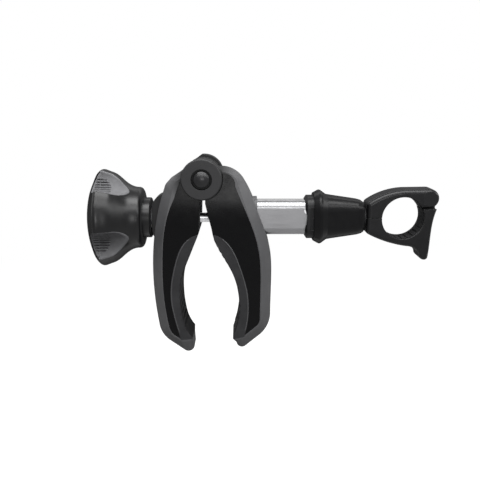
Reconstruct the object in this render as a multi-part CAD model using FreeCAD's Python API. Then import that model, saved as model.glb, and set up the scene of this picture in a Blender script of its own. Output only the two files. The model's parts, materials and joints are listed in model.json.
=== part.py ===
# Bike frame holder: the removable arm of a bike carrier.
# A hinged rail clamp sits at one end, two padded jaws and a clamping knob at the other.
# Frame: origin at the centre of the rail bore, +X along the arm towards the free end of the
# rail clamp, Y along the rail bore, +Z up, with the jaws hanging down. Millimetres.
import FreeCAD, Part
import math
import os

os.makedirs("parts", exist_ok=True)
V = FreeCAD.Vector

# Clearances
turn_fit = 0.08
slide_gap = 0.3
rest_gap = 0.3
swing_gap = 0.4

# Rail clamp
rail_bore_r = 17.0
liner_wall = 2.0
liner_width = 15.0
lip_relief = 0.3
clamp_width = 21.0
clamp_top_wall = 6.2
clamp_bottom_wall = 5.0
clamp_left = 29.3
clamp_neck_half = 12.2
clamp_upper_round = 3.4
clamp_lower_round = 2.8
clamp_split = 0.5
clamp_pin_dx = 20.6
clamp_pin_dz = 15.8
clamp_boss_r = 7.7
clamp_pin_r = 3.0
clamp_knuckle_r = 6.4
clamp_knuckle_width = 7.8
clamp_cap_r = 5.9
clamp_cap_thick = 1.1
clamp_column_gap = 0.9
tail_drop = 34.6
tail_width = 8.2
liner_groove_r = 0.7

# Swivel between rail clamp and arm
swivel_pin_r = 4.0
swivel_head_r = 7.0
swivel_head_thick = 4.0
swivel_nut_r = 6.4
swivel_nut_thick = 5.5
nose_r = 8.5
nose_end_gap = 0.3

# Arm tube, a rounded rectangle standing on its narrow side
tube_half_height = 14.0
tube_half_depth = 10.0
tube_corner_r = 6.0
tube_wall = 2.0
tube_right = -62.0
plug_depth = 24.0
flange_thick = 1.0
cross_pin_r = 2.0
cross_pin_inset = 16.0

# End collar and lock sleeve
collar_left = -79.0
collar_length = 11.6
collar_grow = 3.2
collar_lip = 0.8
collar_notch = 1.6
sleeve_left = -72.0
sleeve_right = -31.2
sleeve_travel = 4.0
sleeve_flange_half = 21.6
sleeve_body_half = 17.4
sleeve_neck_half = 14.2
sleeve_end_half = 12.0
sleeve_flat = 2.2
sleeve_spring_turns = 6
sleeve_spring_wire_r = 0.55
sleeve_spring_coil_r = 9.5

# Jaw hinge
hinge_x = -161.2
hinge_z = 33.0
hinge_disc_r = 16.1
hinge_stand = 1.0
ear_inset = 0.7
disc_edge_cut = 0.9
ear_flat = 14.0
ear_flat_angle = 126.0
knuckle_r = 14.6
knuckle_half = 14.7
ear_gap = 0.3
hinge_pin_r = 5.0
hinge_head_r = 6.4
hinge_head_well_r = 8.2
hinge_dome_rise = 2.4
hinge_well_depth = 6.0
hinge_nut_r = 6.6
knuckle_rib_count = 22
knuckle_rib_r = 0.55

# Jaws
jaw_half_depth = 24.0
jaw_widest_z = 8.0
jaw_tip_half = 15.0
jaw_tip_z = -110.0
jaw_top_half = 18.5
jaw_top_z = 42.0
jaw_ridge_share = 0.5
jaw_side_round = 120.0
cover_thick = 2.0
cover_recess = 0.5
pad_rib_count = 15
pad_rib_r = 1.1

# Clamping rod, trunnion and seat
rod_r = 4.0
rod_z = -0.8
rod_left = -240.0
rod_end_nut_r = 7.2
rod_end_nut_thick = 5.0
trunnion_dx = 21.2
trunnion_r = 7.0
trunnion_half = 12.0
rod_right_run = 9.0
seat_dx = -30.1
seat_r = 20.0
seat_corner_r = 11.0
seat_half_width = 9.0
seat_gap = 0.35
washer_r = 9.0
washer_thick = 0.8
rod_slot_half = 4.7
left_slot_rise = 9.4
right_slot_rise = 7.8

# Knob
knob_gap = 0.3
knob_neck_r = 16.4
knob_neck_length = 6.4
knob_shoulder_r = 24.9
knob_lobe_r = 39.3
knob_length = 50.3
knob_lobe_count = 4
knob_scoop_r = 13.3
knob_scoop_floor = 27.0
knob_scoop_turn = 28.5
knob_scoop_round = 1.5
knob_cap_depth = 9.6
knob_bore_r = 5.0
knob_cavity_r = 19.0
knob_wall = 3.4
grip_thick = 1.0
grip_seam_gap = 1.2
hub_r = 9.0
hub_flange_r = 15.5
hub_flange_thick = 4.0
ratchet_teeth = 12
ratchet_tooth = 2.0
click_thick = 4.0
torque_wire_r = 1.1
torque_coil_r = 12.5
torque_turns = 3
retainer_thick = 2.0


def save(shape, name):
    shape.exportStep("parts/" + name + ".step")


def cyl_y(x, z, r, y0, y1):
    return Part.makeCylinder(r, y1 - y0, V(x, y0, z), V(0, 1, 0))


def cyl_x(r, x0, x1):
    return Part.makeCylinder(r, x1 - x0, V(x0, 0, 0), V(1, 0, 0))


def block(x0, x1, y0, y1, z0, z1):
    return Part.makeBox(x1 - x0, y1 - y0, z1 - z0, V(x0, y0, z0))


def fused(shapes):
    first = shapes[0]
    return first.fuse(shapes[1:]).removeSplitter() if len(shapes) > 1 else first


def without(shape, *tools):
    for tool in tools:
        shape = shape.cut(tool)
    return shape


def outline(points, y):
    # Closed edge loop in a plane of constant Y: ("line", p), ("arc", mid, p), ("curve", p, p, ...)
    edges = []
    here = points[0]
    for step in points[1:]:
        kind = step[0]
        spots = [V(p[0], y, p[1]) for p in step[1:]]
        start = V(here[0], y, here[1])
        if kind == "line":
            edges.append(Part.LineSegment(start, spots[0]).toShape())
        elif kind == "arc":
            edges.append(Part.Arc(start, spots[0], spots[1]).toShape())
        else:
            curve = Part.BSplineCurve()
            curve.interpolate([start] + spots)
            edges.append(curve.toShape())
        here = step[-1]
    return Part.Wire(edges)


def slab(points, y0, y1):
    face = Part.Face(outline(points, y0))
    return face.extrude(V(0, y1 - y0, 0))


def round_box_wire(x, half_z, half_y, r):
    # Rounded rectangle across the arm, at one X
    cz = half_z - r
    cy = half_y - r
    k = r * math.sqrt(0.5)
    corners = [(1, 1), (-1, 1), (-1, -1), (1, -1)]
    arcs = []
    for sy, sz in corners:
        flat_y = V(x, sy * (cy + r), sz * cz)
        middle = V(x, sy * (cy + k), sz * (cz + k))
        flat_z = V(x, sy * cy, sz * (cz + r))
        ends = (flat_y, flat_z) if sy * sz > 0 else (flat_z, flat_y)
        arcs.append((ends[0], middle, ends[1]))
    edges = []
    for i, (a, m, b) in enumerate(arcs):
        edges.append(Part.Arc(a, m, b).toShape())
        edges.append(Part.LineSegment(b, arcs[(i + 1) % 4][0]).toShape())
    return Part.Wire(edges)


def round_box_loft(sections):
    return Part.makeLoft([round_box_wire(*s) for s in sections], True, True)


def revolve_x(profile):
    # Profile: (x, r) points joined by lines, or a list of points joined by one smooth curve
    edges = []
    here = profile[0]
    for step in profile[1:]:
        if isinstance(step, list):
            curve = Part.BSplineCurve()
            curve.interpolate([V(here[0], 0, here[1])] + [V(p[0], 0, p[1]) for p in step])
            edges.append(curve.toShape())
            here = step[-1]
        else:
            edges.append(Part.LineSegment(V(here[0], 0, here[1]), V(step[0], 0, step[1])).toShape())
            here = step
    start = profile[0]
    if (here[0], here[1]) != (start[0], start[1]):
        edges.append(Part.LineSegment(V(here[0], 0, here[1]), V(start[0], 0, start[1])).toShape())
    return Part.Face(Part.Wire(edges)).revolve(V(0, 0, 0), V(1, 0, 0), 360)


def coil_x(x0, x1, coil_r, wire_half, turns):
    # Spring of flat wire with its axis on the arm axis, laid as straight chords of a helix
    per_turn = 12
    count = turns * per_turn
    rise = (x1 - x0 - 2 * wire_half) / count
    sections = []
    for i in range(count + 1):
        angle = 2 * math.pi * i / per_turn
        out = V(0, math.cos(angle), math.sin(angle))
        middle = V(x0 + wire_half + rise * i, 0, 0)
        along = V(wire_half, 0, 0)
        inner = out * (coil_r - wire_half)
        outer = out * (coil_r + wire_half)
        sections.append(Part.makePolygon([middle + inner - along, middle + outer - along,
                                          middle + outer + along, middle + inner + along,
                                          middle + inner - along]))
    return Part.makeLoft(sections, True, True)


def hex_x(across_r, x0, x1):
    points = [V(x0, across_r * math.cos(math.radians(60 * i)), across_r * math.sin(math.radians(60 * i)))
              for i in range(7)]
    return Part.Face(Part.makePolygon(points)).extrude(V(x1 - x0, 0, 0))


def hex_y(x, z, across_r, y0, y1):
    points = [V(x + across_r * math.cos(math.radians(60 * i)), y0,
                z + across_r * math.sin(math.radians(60 * i))) for i in range(7)]
    return Part.Face(Part.makePolygon(points)).extrude(V(0, y1 - y0, 0))


def round_edges(shape, r, wanted):
    return shape.makeFillet(r, [edge for edge in shape.Edges if wanted(edge)])


# Rail clamp: shared sizes
clamp_half = clamp_width / 2
shell_bore_r = rail_bore_r + liner_wall
lip_r = rail_bore_r + lip_relief
liner_half = liner_width / 2
clamp_top = rail_bore_r + clamp_top_wall
pin_x = clamp_pin_dx
pin_z = clamp_pin_dz
boss_low = pin_z - clamp_boss_r
column_top = boss_low - clamp_column_gap
lower_split = clamp_split - swing_gap
knuckle_half_width = clamp_knuckle_width / 2
slot_half_width = knuckle_half_width + slide_gap
web_left = pin_x - 1.5
web_right = pin_x + clamp_knuckle_r - 0.4


def bore_cut():
    return fused([cyl_y(0, 0, lip_r, -clamp_half - 1, clamp_half + 1),
                  cyl_y(0, 0, shell_bore_r, -liner_half, liner_half)])


def on_faces(edge, half):
    return all(abs(abs(v.Y) - half) < 0.01 for v in edge.Vertexes) and \
        abs(abs(edge.valueAt(edge.FirstParameter).y) - half) < 0.01


def make_clamp_upper():
    shape = slab([
        (-clamp_left, clamp_split),
        ("line", (-clamp_left, clamp_neck_half)),
        ("arc", (-clamp_left * 0.5, clamp_top - 3.2), (2.0, clamp_top)),
        ("line", (pin_x, pin_z + clamp_boss_r)),
        ("arc", (pin_x + clamp_boss_r, pin_z), (pin_x, boss_low)),
        ("line", (0, boss_low)),
        ("line", (0, clamp_split)),
        ("line", (-clamp_left, clamp_split)),
    ], -clamp_half, clamp_half)
    shape = round_edges(shape, clamp_upper_round, lambda e: on_faces(e, clamp_half)
                        and e.CenterOfMass.z > clamp_split + 1
                        and e.CenterOfMass.distanceToPoint(V(0, e.CenterOfMass.y, 0)) > shell_bore_r)
    knuckle_slot = fused([
        cyl_y(pin_x, pin_z, clamp_knuckle_r + swing_gap, -slot_half_width, slot_half_width),
        block(web_left - 0.7, pin_x + 2 * clamp_boss_r, -slot_half_width, slot_half_width,
              boss_low - 5, pin_z + 3.4)])
    cap_wells = [cyl_y(pin_x, pin_z, clamp_cap_r, side * clamp_half - clamp_cap_thick,
                       side * clamp_half + clamp_cap_thick) for side in (-1, 1)]
    shape = without(shape, bore_cut(), knuckle_slot,
                    cyl_y(pin_x, pin_z, clamp_pin_r, -clamp_half, clamp_half), *cap_wells)
    pin_channel = fused([cyl_x(swivel_pin_r, -clamp_left - 1, -clamp_left + 6),
                         cyl_x(swivel_head_r, -clamp_left + 2, -clamp_left + 2 + swivel_head_thick)])
    return shape.cut(pin_channel)


def make_clamp_lower():
    tail_right = pin_x + 2.0
    shape = slab([
        (-clamp_left, lower_split),
        ("line", (-clamp_left, -clamp_neck_half)),
        ("arc", (-14.0, -rail_bore_r - 2.0), (4.0, -rail_bore_r - clamp_bottom_wall - 1.2)),
        ("arc", (11.4, -rail_bore_r - clamp_bottom_wall - 3.9), (14.6, -tail_drop + 4.4)),
        ("arc", (tail_right - tail_width + 3.2, -tail_drop + 0.2), (tail_right - 0.9, -tail_drop + 0.8)),
        ("curve", (tail_right + 0.2, -22.0), (tail_right + 1.2, -7.0), (pin_x + 6.3, column_top)),
        ("line", (0, column_top)),
        ("line", (0, lower_split)),
        ("line", (-clamp_left, lower_split)),
    ], -clamp_half, clamp_half)
    shape = round_edges(shape, clamp_lower_round, lambda e: on_faces(e, clamp_half)
                        and e.CenterOfMass.z < lower_split - 1
                        and e.CenterOfMass.distanceToPoint(V(0, e.CenterOfMass.y, 0)) > shell_bore_r)
    web = block(web_left, web_right, -knuckle_half_width, knuckle_half_width, column_top - 4, pin_z)
    knuckle = cyl_y(pin_x, pin_z, clamp_knuckle_r, -knuckle_half_width, knuckle_half_width)
    shape = fused([shape, web, knuckle])
    pin_channel = cyl_x(swivel_head_r + swing_gap, -clamp_left - 1,
                        -clamp_left + 2 + swivel_head_thick + swing_gap)
    return without(shape, bore_cut(), pin_channel,
                   cyl_y(pin_x, pin_z, clamp_pin_r + turn_fit, -clamp_half, clamp_half))


def make_liners():
    ring = cyl_y(0, 0, shell_bore_r, -liner_half, liner_half).cut(
        cyl_y(0, 0, rail_bore_r, -liner_half, liner_half))
    reach = 2 * shell_bore_r
    upper = fused([ring.common(block(-reach, 0, -reach, reach, clamp_split, reach)),
                   ring.common(block(0, reach, -reach, reach, boss_low, reach))])
    lower = fused([ring.common(block(-reach, 0, -reach, reach, -reach, lower_split)),
                   ring.common(block(0, reach, -reach, reach, -reach, column_top))])
    grooves = []
    for step in range(9):
        angle = math.radians(-150 + 15 * step)
        x = (rail_bore_r + 0.1) * math.cos(angle)
        z = (rail_bore_r + 0.1) * math.sin(angle)
        grooves.append(cyl_y(x, z, liner_groove_r, -liner_half, liner_half))
    return upper, lower.cut(Part.makeCompound(grooves))


save(make_clamp_upper(), "clamp_upper")
save(make_clamp_lower(), "clamp_lower")
upper_liner, lower_liner = make_liners()
save(upper_liner, "upper_liner")
save(lower_liner, "lower_liner")
save(cyl_y(pin_x, pin_z, clamp_pin_r, clamp_cap_thick - clamp_half, clamp_half - clamp_cap_thick), "clamp_pin")
caps = [cyl_y(pin_x, pin_z, clamp_cap_r, -clamp_half, clamp_cap_thick - clamp_half),
        cyl_y(pin_x, pin_z, clamp_cap_r, clamp_half - clamp_cap_thick, clamp_half)]
save(Part.makeCompound(caps), "clamp_pin_caps")

# Swivel pin and its nut
plug_left = tube_right - plug_depth
nut_right = tube_right - 3.0
nose_end = -clamp_left - nose_end_gap
swivel_pin = fused([cyl_x(swivel_pin_r, nut_right - swivel_nut_thick, -clamp_left + 5),
                    cyl_x(swivel_head_r, -clamp_left + 2, -clamp_left + 2 + swivel_head_thick)])
save(swivel_pin, "swivel_pin")
swivel_nut = hex_x(swivel_nut_r, nut_right - swivel_nut_thick, nut_right).cut(
    cyl_x(swivel_pin_r, nut_right - swivel_nut_thick, nut_right))
save(swivel_nut, "swivel_nut")

# Arm tube and end plug
tube_left = hinge_x + trunnion_dx + rod_right_run + 3.0
inner_half_height = tube_half_height - tube_wall
inner_half_depth = tube_half_depth - tube_wall
inner_corner_r = tube_corner_r - tube_wall
cross_pin_x = tube_right - cross_pin_inset


def cross_pin(x):
    # Rivet through both side walls of the tube, flush outside
    return cyl_y(x, tube_half_height - tube_corner_r - cross_pin_r, cross_pin_r,
                 -tube_half_depth, tube_half_depth)


socket_pin_x = tube_left + 5.0
arm_tube = round_box_loft([(tube_left, tube_half_height, tube_half_depth, tube_corner_r),
                           (tube_right, tube_half_height, tube_half_depth, tube_corner_r)])
arm_tube = without(arm_tube,
                   round_box_loft([(tube_left, inner_half_height, inner_half_depth, inner_corner_r),
                                   (tube_right, inner_half_height, inner_half_depth, inner_corner_r)]),
                   cross_pin(cross_pin_x), cross_pin(socket_pin_x))
save(arm_tube, "arm_tube")

end_plug = fused([
    round_box_loft([(plug_left, inner_half_height, inner_half_depth, inner_corner_r),
                    (tube_right, inner_half_height, inner_half_depth, inner_corner_r)]),
    round_box_loft([(tube_right, tube_half_height, tube_half_depth, tube_corner_r),
                    (tube_right + flange_thick, tube_half_height, tube_half_depth, tube_corner_r)]),
    cyl_x(nose_r, tube_right, nose_end)])
end_plug = without(end_plug, cyl_x(swivel_pin_r + turn_fit, plug_left, nose_end),
                   cyl_x(swivel_nut_r + slide_gap, plug_left, nut_right + rest_gap),
                   cross_pin(cross_pin_x))
save(end_plug, "end_plug")
save(Part.makeCompound([cross_pin(cross_pin_x), cross_pin(socket_pin_x)]), "tube_rivets")

# End collar: clipped over the tube, its lips flared above and below
collar_right = collar_left + collar_length
collar_half = tube_half_height + collar_grow
collar_side = tube_half_depth + collar_grow


def make_end_collar():
    grown_r = tube_corner_r + collar_grow
    shape = round_box_loft([
        (collar_left, tube_half_height + collar_lip, tube_half_depth + collar_lip, tube_corner_r + collar_lip),
        (collar_left + collar_notch, collar_half, collar_side, grown_r),
        (collar_right, collar_half, collar_side, grown_r)])
    shape = shape.cut(round_box_loft([
        (collar_left, tube_half_height, tube_half_depth, tube_corner_r),
        (collar_right, tube_half_height, tube_half_depth, tube_corner_r)]))
    half_window = tube_half_height - tube_corner_r + 1.0
    for side in (-1, 1):
        face = side * (tube_half_depth + collar_grow)
        scoop = Part.makeCylinder(2 * half_window, 8, V(collar_left + collar_notch - 2 * half_window, face - 4, 0),
                                  V(0, 1, 0))
        window = block(collar_left + 4.2, collar_right - 2.4, face - 1.2, face + 1.2, -half_window, half_window)
        pointer = Part.Face(Part.makePolygon([
            V(collar_left + 5.6, face, 0.4), V(collar_right - 2.4, face, 1.8),
            V(collar_right - 2.4, face, -1.0), V(collar_left + 5.6, face, 0.4)])).extrude(V(0, -side * 1.2, 0))
        shape = without(shape, scoop.common(block(collar_left - 1, collar_left + collar_notch, face - 9, face + 9,
                                                  -half_window - 2, half_window + 2)), window)
        shape = shape.fuse(pointer)
    return shape.removeSplitter()


save(make_end_collar(), "end_collar")

# Lock sleeve and its spring
spring_left = tube_right + flange_thick
spring_right = sleeve_right - 6.8


def sleeve_section(x, half):
    return (x, half, half - sleeve_flat, min(half - sleeve_flat - 0.5, tube_corner_r + half - tube_half_height + 2))


def make_lock_sleeve():
    shape = round_box_loft([
        sleeve_section(sleeve_left, collar_half + 1.9),
        sleeve_section(sleeve_left + 3.6, sleeve_flange_half - 0.5),
        sleeve_section(sleeve_left + 5.0, sleeve_flange_half),
        sleeve_section(sleeve_left + 6.4, sleeve_flange_half - 0.5),
        sleeve_section(sleeve_left + 10.6, sleeve_body_half + 0.6),
        sleeve_section(sleeve_left + 14.0, sleeve_body_half),
        sleeve_section(sleeve_right - 5.2, sleeve_neck_half),
        sleeve_section(sleeve_right - 1.8, sleeve_end_half + 1.2),
        sleeve_section(sleeve_right, sleeve_end_half)])
    pocket = round_box_loft([
        (sleeve_left, collar_half + slide_gap, collar_side + slide_gap, tube_corner_r + collar_grow + slide_gap),
        (collar_right + sleeve_travel + slide_gap, collar_half + slide_gap, collar_side + slide_gap,
         tube_corner_r + collar_grow + slide_gap)])
    tube_pocket = round_box_loft([
        (sleeve_left, tube_half_height + slide_gap, tube_half_depth + slide_gap, tube_corner_r + slide_gap),
        (tube_right + flange_thick + sleeve_travel + slide_gap, tube_half_height + slide_gap,
         tube_half_depth + slide_gap, tube_corner_r + slide_gap)])
    bore = fused([cyl_x(nose_r + slide_gap, sleeve_left, sleeve_right),
                  cyl_x(sleeve_spring_coil_r + sleeve_spring_wire_r + slide_gap, sleeve_left, spring_right)])
    return without(shape, pocket, tube_pocket, bore)


save(make_lock_sleeve(), "lock_sleeve")
save(coil_x(spring_left, spring_right, sleeve_spring_coil_r, sleeve_spring_wire_r, sleeve_spring_turns),
     "sleeve_spring")


# Jaws: outlines in X from the hinge and in Z from the arm axis
def from_hinge(points):
    moved = [(points[0][0] + hinge_x, points[0][1])]
    for step in points[1:]:
        moved.append((step[0],) + tuple((p[0] + hinge_x, p[1]) for p in step[1:]))
    return moved


left_grip = ("curve", (-15.4, -89.7), (-18.9, -70.0), (-17.8, -48.5), (-8.5, -23.4), (-2.7, -9.3))
left_spine = [
    (-2.0, 14.0),
    ("line", (-2.0, hinge_z)),
    ("line", (-10.0, hinge_z + 9.0)),
    ("line", (-25.0, 31.8)),
    ("arc", (-28.0, 29.4), (-29.9, 25.6)),
    ("curve", (-38.0, -5.1), (-41.2, -35.4), (-40.6, -65.9), (-37.9, -88.9)),
    ("arc", (-34.7, -98.8), (-28.8, -105.2)),
    ("line", (-16.4, -114.2)),
    ("arc", (-11.8, -114.4), (-8.6, -109.9)),
    ("line", (-9.5, -99.8)),
    left_grip,
    ("line", (-2.0, 14.0)),
]
left_face = [
    (-2.0, 14.0),
    ("line", (-2.0, hinge_z)),
    ("line", (-10.0, hinge_z)),
    ("line", (-17.0, 31.0)),
    ("arc", (-19.4, 24.5), (-21.5, 18.0)),
    ("curve", (-28.6, -2.0), (-32.1, -32.8), (-32.2, -59.7), (-28.5, -90.5)),
    ("arc", (-26.1, -95.7), (-22.5, -98.9)),
    ("line", (-19.3, -101.0)),
    ("arc", (-14.4, -101.8), (-10.3, -101.4)),
    ("line", (-9.5, -99.8)),
    left_grip,
    ("line", (-2.0, 14.0)),
]
left_pad_zone = [
    (0.0, -10.3),
    ("line", (-4.7, -10.9)),
    ("curve", (-11.7, -14.6), (-22.8, -36.4), (-26.7, -64.9), (-24.4, -81.5), (-19.1, -102.0)),
    ("line", (-6.6, -100.4)),
    ("line", (0.0, -100.4)),
    ("line", (0.0, -10.3)),
]
right_grip = ("curve", (28.3, -83.6), (29.2, -65.9), (24.6, -44.7), (10.1, -16.8), (7.5, -6.6))
right_spine = [
    (2.6, 14.0),
    ("line", (2.6, hinge_z)),
    ("line", (12.0, 40.0)),
    ("arc", (24.8, 37.4), (32.4, 30.4)),
    ("curve", (39.1, 17.9), (46.0, 0.0), (53.1, -20.3), (55.5, -46.6), (55.0, -80.2)),
    ("arc", (52.2, -92.1), (44.5, -101.3)),
    ("line", (34.6, -109.7)),
    ("arc", (29.8, -110.7), (27.0, -106.8)),
    ("line", (23.9, -100.4)),
    right_grip,
    ("line", (2.6, 14.0)),
]
right_face = [
    (2.6, 14.0),
    ("line", (2.6, hinge_z)),
    ("line", (12.0, 35.6)),
    ("arc", (20.6, 36.6), (26.0, 27.6)),
    ("curve", (30.4, 17.0), (35.5, 5.0), (43.9, -20.5), (46.4, -51.4), (46.0, -81.5)),
    ("arc", (45.0, -86.9), (41.8, -90.5)),
    ("line", (33.5, -97.8)),
    ("arc", (29.2, -99.7), (25.3, -101.6)),
    ("line", (23.9, -100.4)),
    right_grip,
    ("line", (2.6, 14.0)),
]
right_pad_zone = [
    (0.0, -10.3),
    ("line", (9.3, -10.7)),
    ("curve", (16.6, -14.2), (30.2, -37.6), (36.7, -63.8), (35.7, -88.8), (33.3, -98.9)),
    ("line", (23.9, -101.4)),
    ("line", (0.0, -101.4)),
    ("line", (0.0, -10.3)),
]
jaw_slope = (jaw_half_depth - jaw_tip_half) / (jaw_widest_z - jaw_tip_z)


def jaw_envelope(inset):
    # Side profile of a jaw: widest beside the arm, drawn in towards its tip and towards the hinge
    reach = 90.0
    low = -140.0
    high = jaw_top_z + 10.0
    wide = jaw_half_depth - inset
    foot = wide - jaw_slope * (jaw_widest_z - low)
    narrow = jaw_top_half - inset
    side = [(foot, low), (wide, jaw_widest_z), (narrow, high), (-narrow, high), (-wide, jaw_widest_z), (-foot, low)]
    points = [V(hinge_x - reach, y, z) for y, z in side + side[:1]]
    shape = Part.Face(Part.makePolygon(points)).extrude(V(2 * reach, 0, 0))
    return round_edges(shape, jaw_side_round, lambda e: abs(e.CenterOfMass.z - jaw_widest_z) < 0.01
                       and abs(abs(e.CenterOfMass.y) - wide) < 0.01)


def tilted(points, share, overrun):
    # The outline laid on a plane at a share of the jaw's half depth, sloping in towards the tip
    level = share * (jaw_half_depth - jaw_slope * jaw_widest_z) + overrun
    matrix = FreeCAD.Matrix()
    matrix.A23 = share * jaw_slope
    matrix.A24 = level
    return outline(from_hinge(points), 0.0).transformGeometry(matrix)


def jaw_blank(spine, face):
    # Full outline at the ridge, chamfered out to the smaller outline of the side face
    wires = [tilted(face, -1.0, -1.0), tilted(spine, -jaw_ridge_share, 0.0),
             tilted(spine, jaw_ridge_share, 0.0), tilted(face, 1.0, 1.0)]
    layers = [Part.makeLoft([wires[i], wires[i + 1]], True, True) for i in range(3)]
    return fused(layers).common(jaw_envelope(0.0))


def through(points):
    return slab(from_hinge(points), -2 * jaw_half_depth, 2 * jaw_half_depth)


def covers(blank, face, pad_zone, clear):
    # Recesses in the front and back of a jaw, and the flat covers that lie a little below the rim
    skin = blank.common(through(face)).cut(jaw_envelope(cover_thick))
    skin = without(skin, pad_zone, clear)
    pockets = sorted(skin.Solids, key=lambda s: -s.Volume)[:2]
    pockets = sorted(pockets, key=lambda s: s.CenterOfMass.y)
    return pockets, [pocket.common(jaw_envelope(cover_recess)) for pocket in pockets]


def pad_grooves(grip, start, side):
    # Grip grooves across the pad, spaced along its gripping edge
    spots = [V(p[0] + hinge_x, 0, p[1]) for p in (start,) + grip[1:]]
    curve = Part.BSplineCurve()
    curve.interpolate(spots)
    marks = curve.discretize(pad_rib_count + 4)[2:-2]
    return [cyl_y(m.x - side * pad_rib_r * 0.3, m.z, pad_rib_r, -jaw_half_depth, jaw_half_depth) for m in marks]


def rod_slot(x0, x1, rise):
    flat = rise - rod_slot_half
    box = block(x0, x1, -rod_slot_half, rod_slot_half, rod_z - flat, rod_z + flat)
    ends = [Part.makeCylinder(rod_slot_half, x1 - x0, V(x0, 0, rod_z + s * flat), V(1, 0, 0)) for s in (-1, 1)]
    return fused([box] + ends)


def ear(y0, y1):
    # Hinge ear of the left jaw with a flat towards the knob
    disc = cyl_y(hinge_x, hinge_z, hinge_disc_r, y0, y1)
    cut = block(ear_flat, 3 * hinge_disc_r, y0, y1, -2 * hinge_disc_r, 2 * hinge_disc_r)
    cut.rotate(V(0, 0, 0), V(0, -1, 0), ear_flat_angle)
    cut.translate(V(hinge_x, 0, hinge_z))
    return disc.cut(cut)


seat_x = hinge_x + seat_dx
hinge_depth = jaw_half_depth + hinge_stand
ear_half = hinge_depth - ear_inset


def seat_pocket():
    r = seat_r + seat_gap
    y = seat_half_width + slide_gap
    round_part = cyl_y(seat_x, rod_z, r, -y, y)
    return round_part.fuse(block(seat_x - 2 * seat_r, seat_x, -y, y, rod_z - r, rod_z + r))


left_blank = jaw_blank(left_spine, left_face)
left_zone = through(left_pad_zone)
knuckle_room = cyl_y(hinge_x, hinge_z, hinge_disc_r + swing_gap, -knuckle_half - ear_gap,
                     knuckle_half + ear_gap)
left_pockets, (left_front_cover, left_back_cover) = covers(
    left_blank, left_face, left_zone,
    cyl_y(hinge_x, hinge_z, hinge_disc_r, -2 * hinge_depth, 2 * hinge_depth))
head_wells = [cyl_y(hinge_x, hinge_z, hinge_head_well_r, -hinge_depth - 1, -hinge_depth + hinge_well_depth),
              cyl_y(hinge_x, hinge_z, hinge_head_well_r, hinge_depth - hinge_well_depth, hinge_depth + 1)]
front_disc = cyl_y(hinge_x, hinge_z, hinge_disc_r, -hinge_depth, -hinge_depth + 2 * ear_inset)
front_disc = front_disc.makeChamfer(disc_edge_cut, [e for e in front_disc.Edges if on_faces(e, hinge_depth)])
left_jaw = without(left_blank, left_zone, knuckle_room, *left_pockets)
left_jaw = fused([left_jaw, front_disc, ear(-ear_half, -knuckle_half - ear_gap),
                  ear(knuckle_half + ear_gap, ear_half)])
left_jaw = without(left_jaw, seat_pocket(), rod_slot(seat_x + seat_r - 6.0, hinge_x + 1, left_slot_rise),
                   cyl_y(hinge_x, hinge_z, hinge_pin_r + turn_fit, -hinge_depth, hinge_depth), *head_wells)
save(left_jaw, "left_jaw")
save(left_front_cover, "left_front_cover")
save(left_back_cover, "left_back_cover")
left_pad = left_blank.common(left_zone).cut(
    Part.makeCompound(pad_grooves(left_grip, (-8.8, -96.5), -1)))
save(left_pad, "left_pad")

# Right jaw: carries the arm tube, the trunnion and the hinge knuckle
trunnion_x = hinge_x + trunnion_dx
right_blank = jaw_blank(right_spine, right_face)
right_zone = through(right_pad_zone)
ear_room = [cyl_y(hinge_x, hinge_z, hinge_disc_r + swing_gap, -2 * hinge_depth, -knuckle_half),
            cyl_y(hinge_x, hinge_z, hinge_disc_r + swing_gap, knuckle_half, 2 * hinge_depth)]
knuckle = cyl_y(hinge_x, hinge_z, knuckle_r, -knuckle_half, knuckle_half)
grooves = []
for i in range(knuckle_rib_count):
    angle = math.radians(15 + 105.0 * i / (knuckle_rib_count - 1))
    grooves.append(cyl_y(hinge_x + knuckle_r * math.cos(angle), hinge_z + knuckle_r * math.sin(angle),
                         knuckle_rib_r, -knuckle_half, knuckle_half))
knuckle = knuckle.cut(Part.makeCompound(grooves))
right_pockets, (right_front_cover, right_back_cover) = covers(
    right_blank, right_face, right_zone,
    cyl_y(hinge_x, hinge_z, hinge_disc_r + swing_gap, -2 * hinge_depth, 2 * hinge_depth))
socket_left = hinge_x + 30.0
socket_right = hinge_x + 43.5
socket_wall = 2.2
socket = round_box_loft([(x, tube_half_height + socket_wall, tube_half_depth + socket_wall,
                          tube_corner_r + socket_wall) for x in (socket_left, socket_right)])
tube_hole = round_box_loft([(x, tube_half_height, tube_half_depth, tube_corner_r)
                            for x in (tube_left, hinge_x + 62.0)])
rod_end_room = cyl_x(rod_r + 3.0, trunnion_x, tube_left)
rod_end_room.translate(V(0, 0, rod_z))
right_jaw = without(right_blank, right_zone, *right_pockets, *ear_room)
right_jaw = fused([right_jaw, knuckle, socket])
right_jaw = without(right_jaw, tube_hole, rod_end_room,
                    rod_slot(hinge_x - 1, trunnion_x, right_slot_rise),
                    cyl_y(trunnion_x, rod_z, trunnion_r + turn_fit, -trunnion_half - 0.3, trunnion_half + 0.3),
                    cyl_y(hinge_x, hinge_z, hinge_pin_r, -hinge_depth, hinge_depth))
save(right_jaw, "right_jaw")
save(right_front_cover, "right_front_cover")
save(right_back_cover, "right_back_cover")
right_pad = right_blank.common(right_zone).cut(
    Part.makeCompound(pad_grooves(right_grip, (24.0, -97.0), 1)))
save(right_pad, "right_pad")

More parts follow.
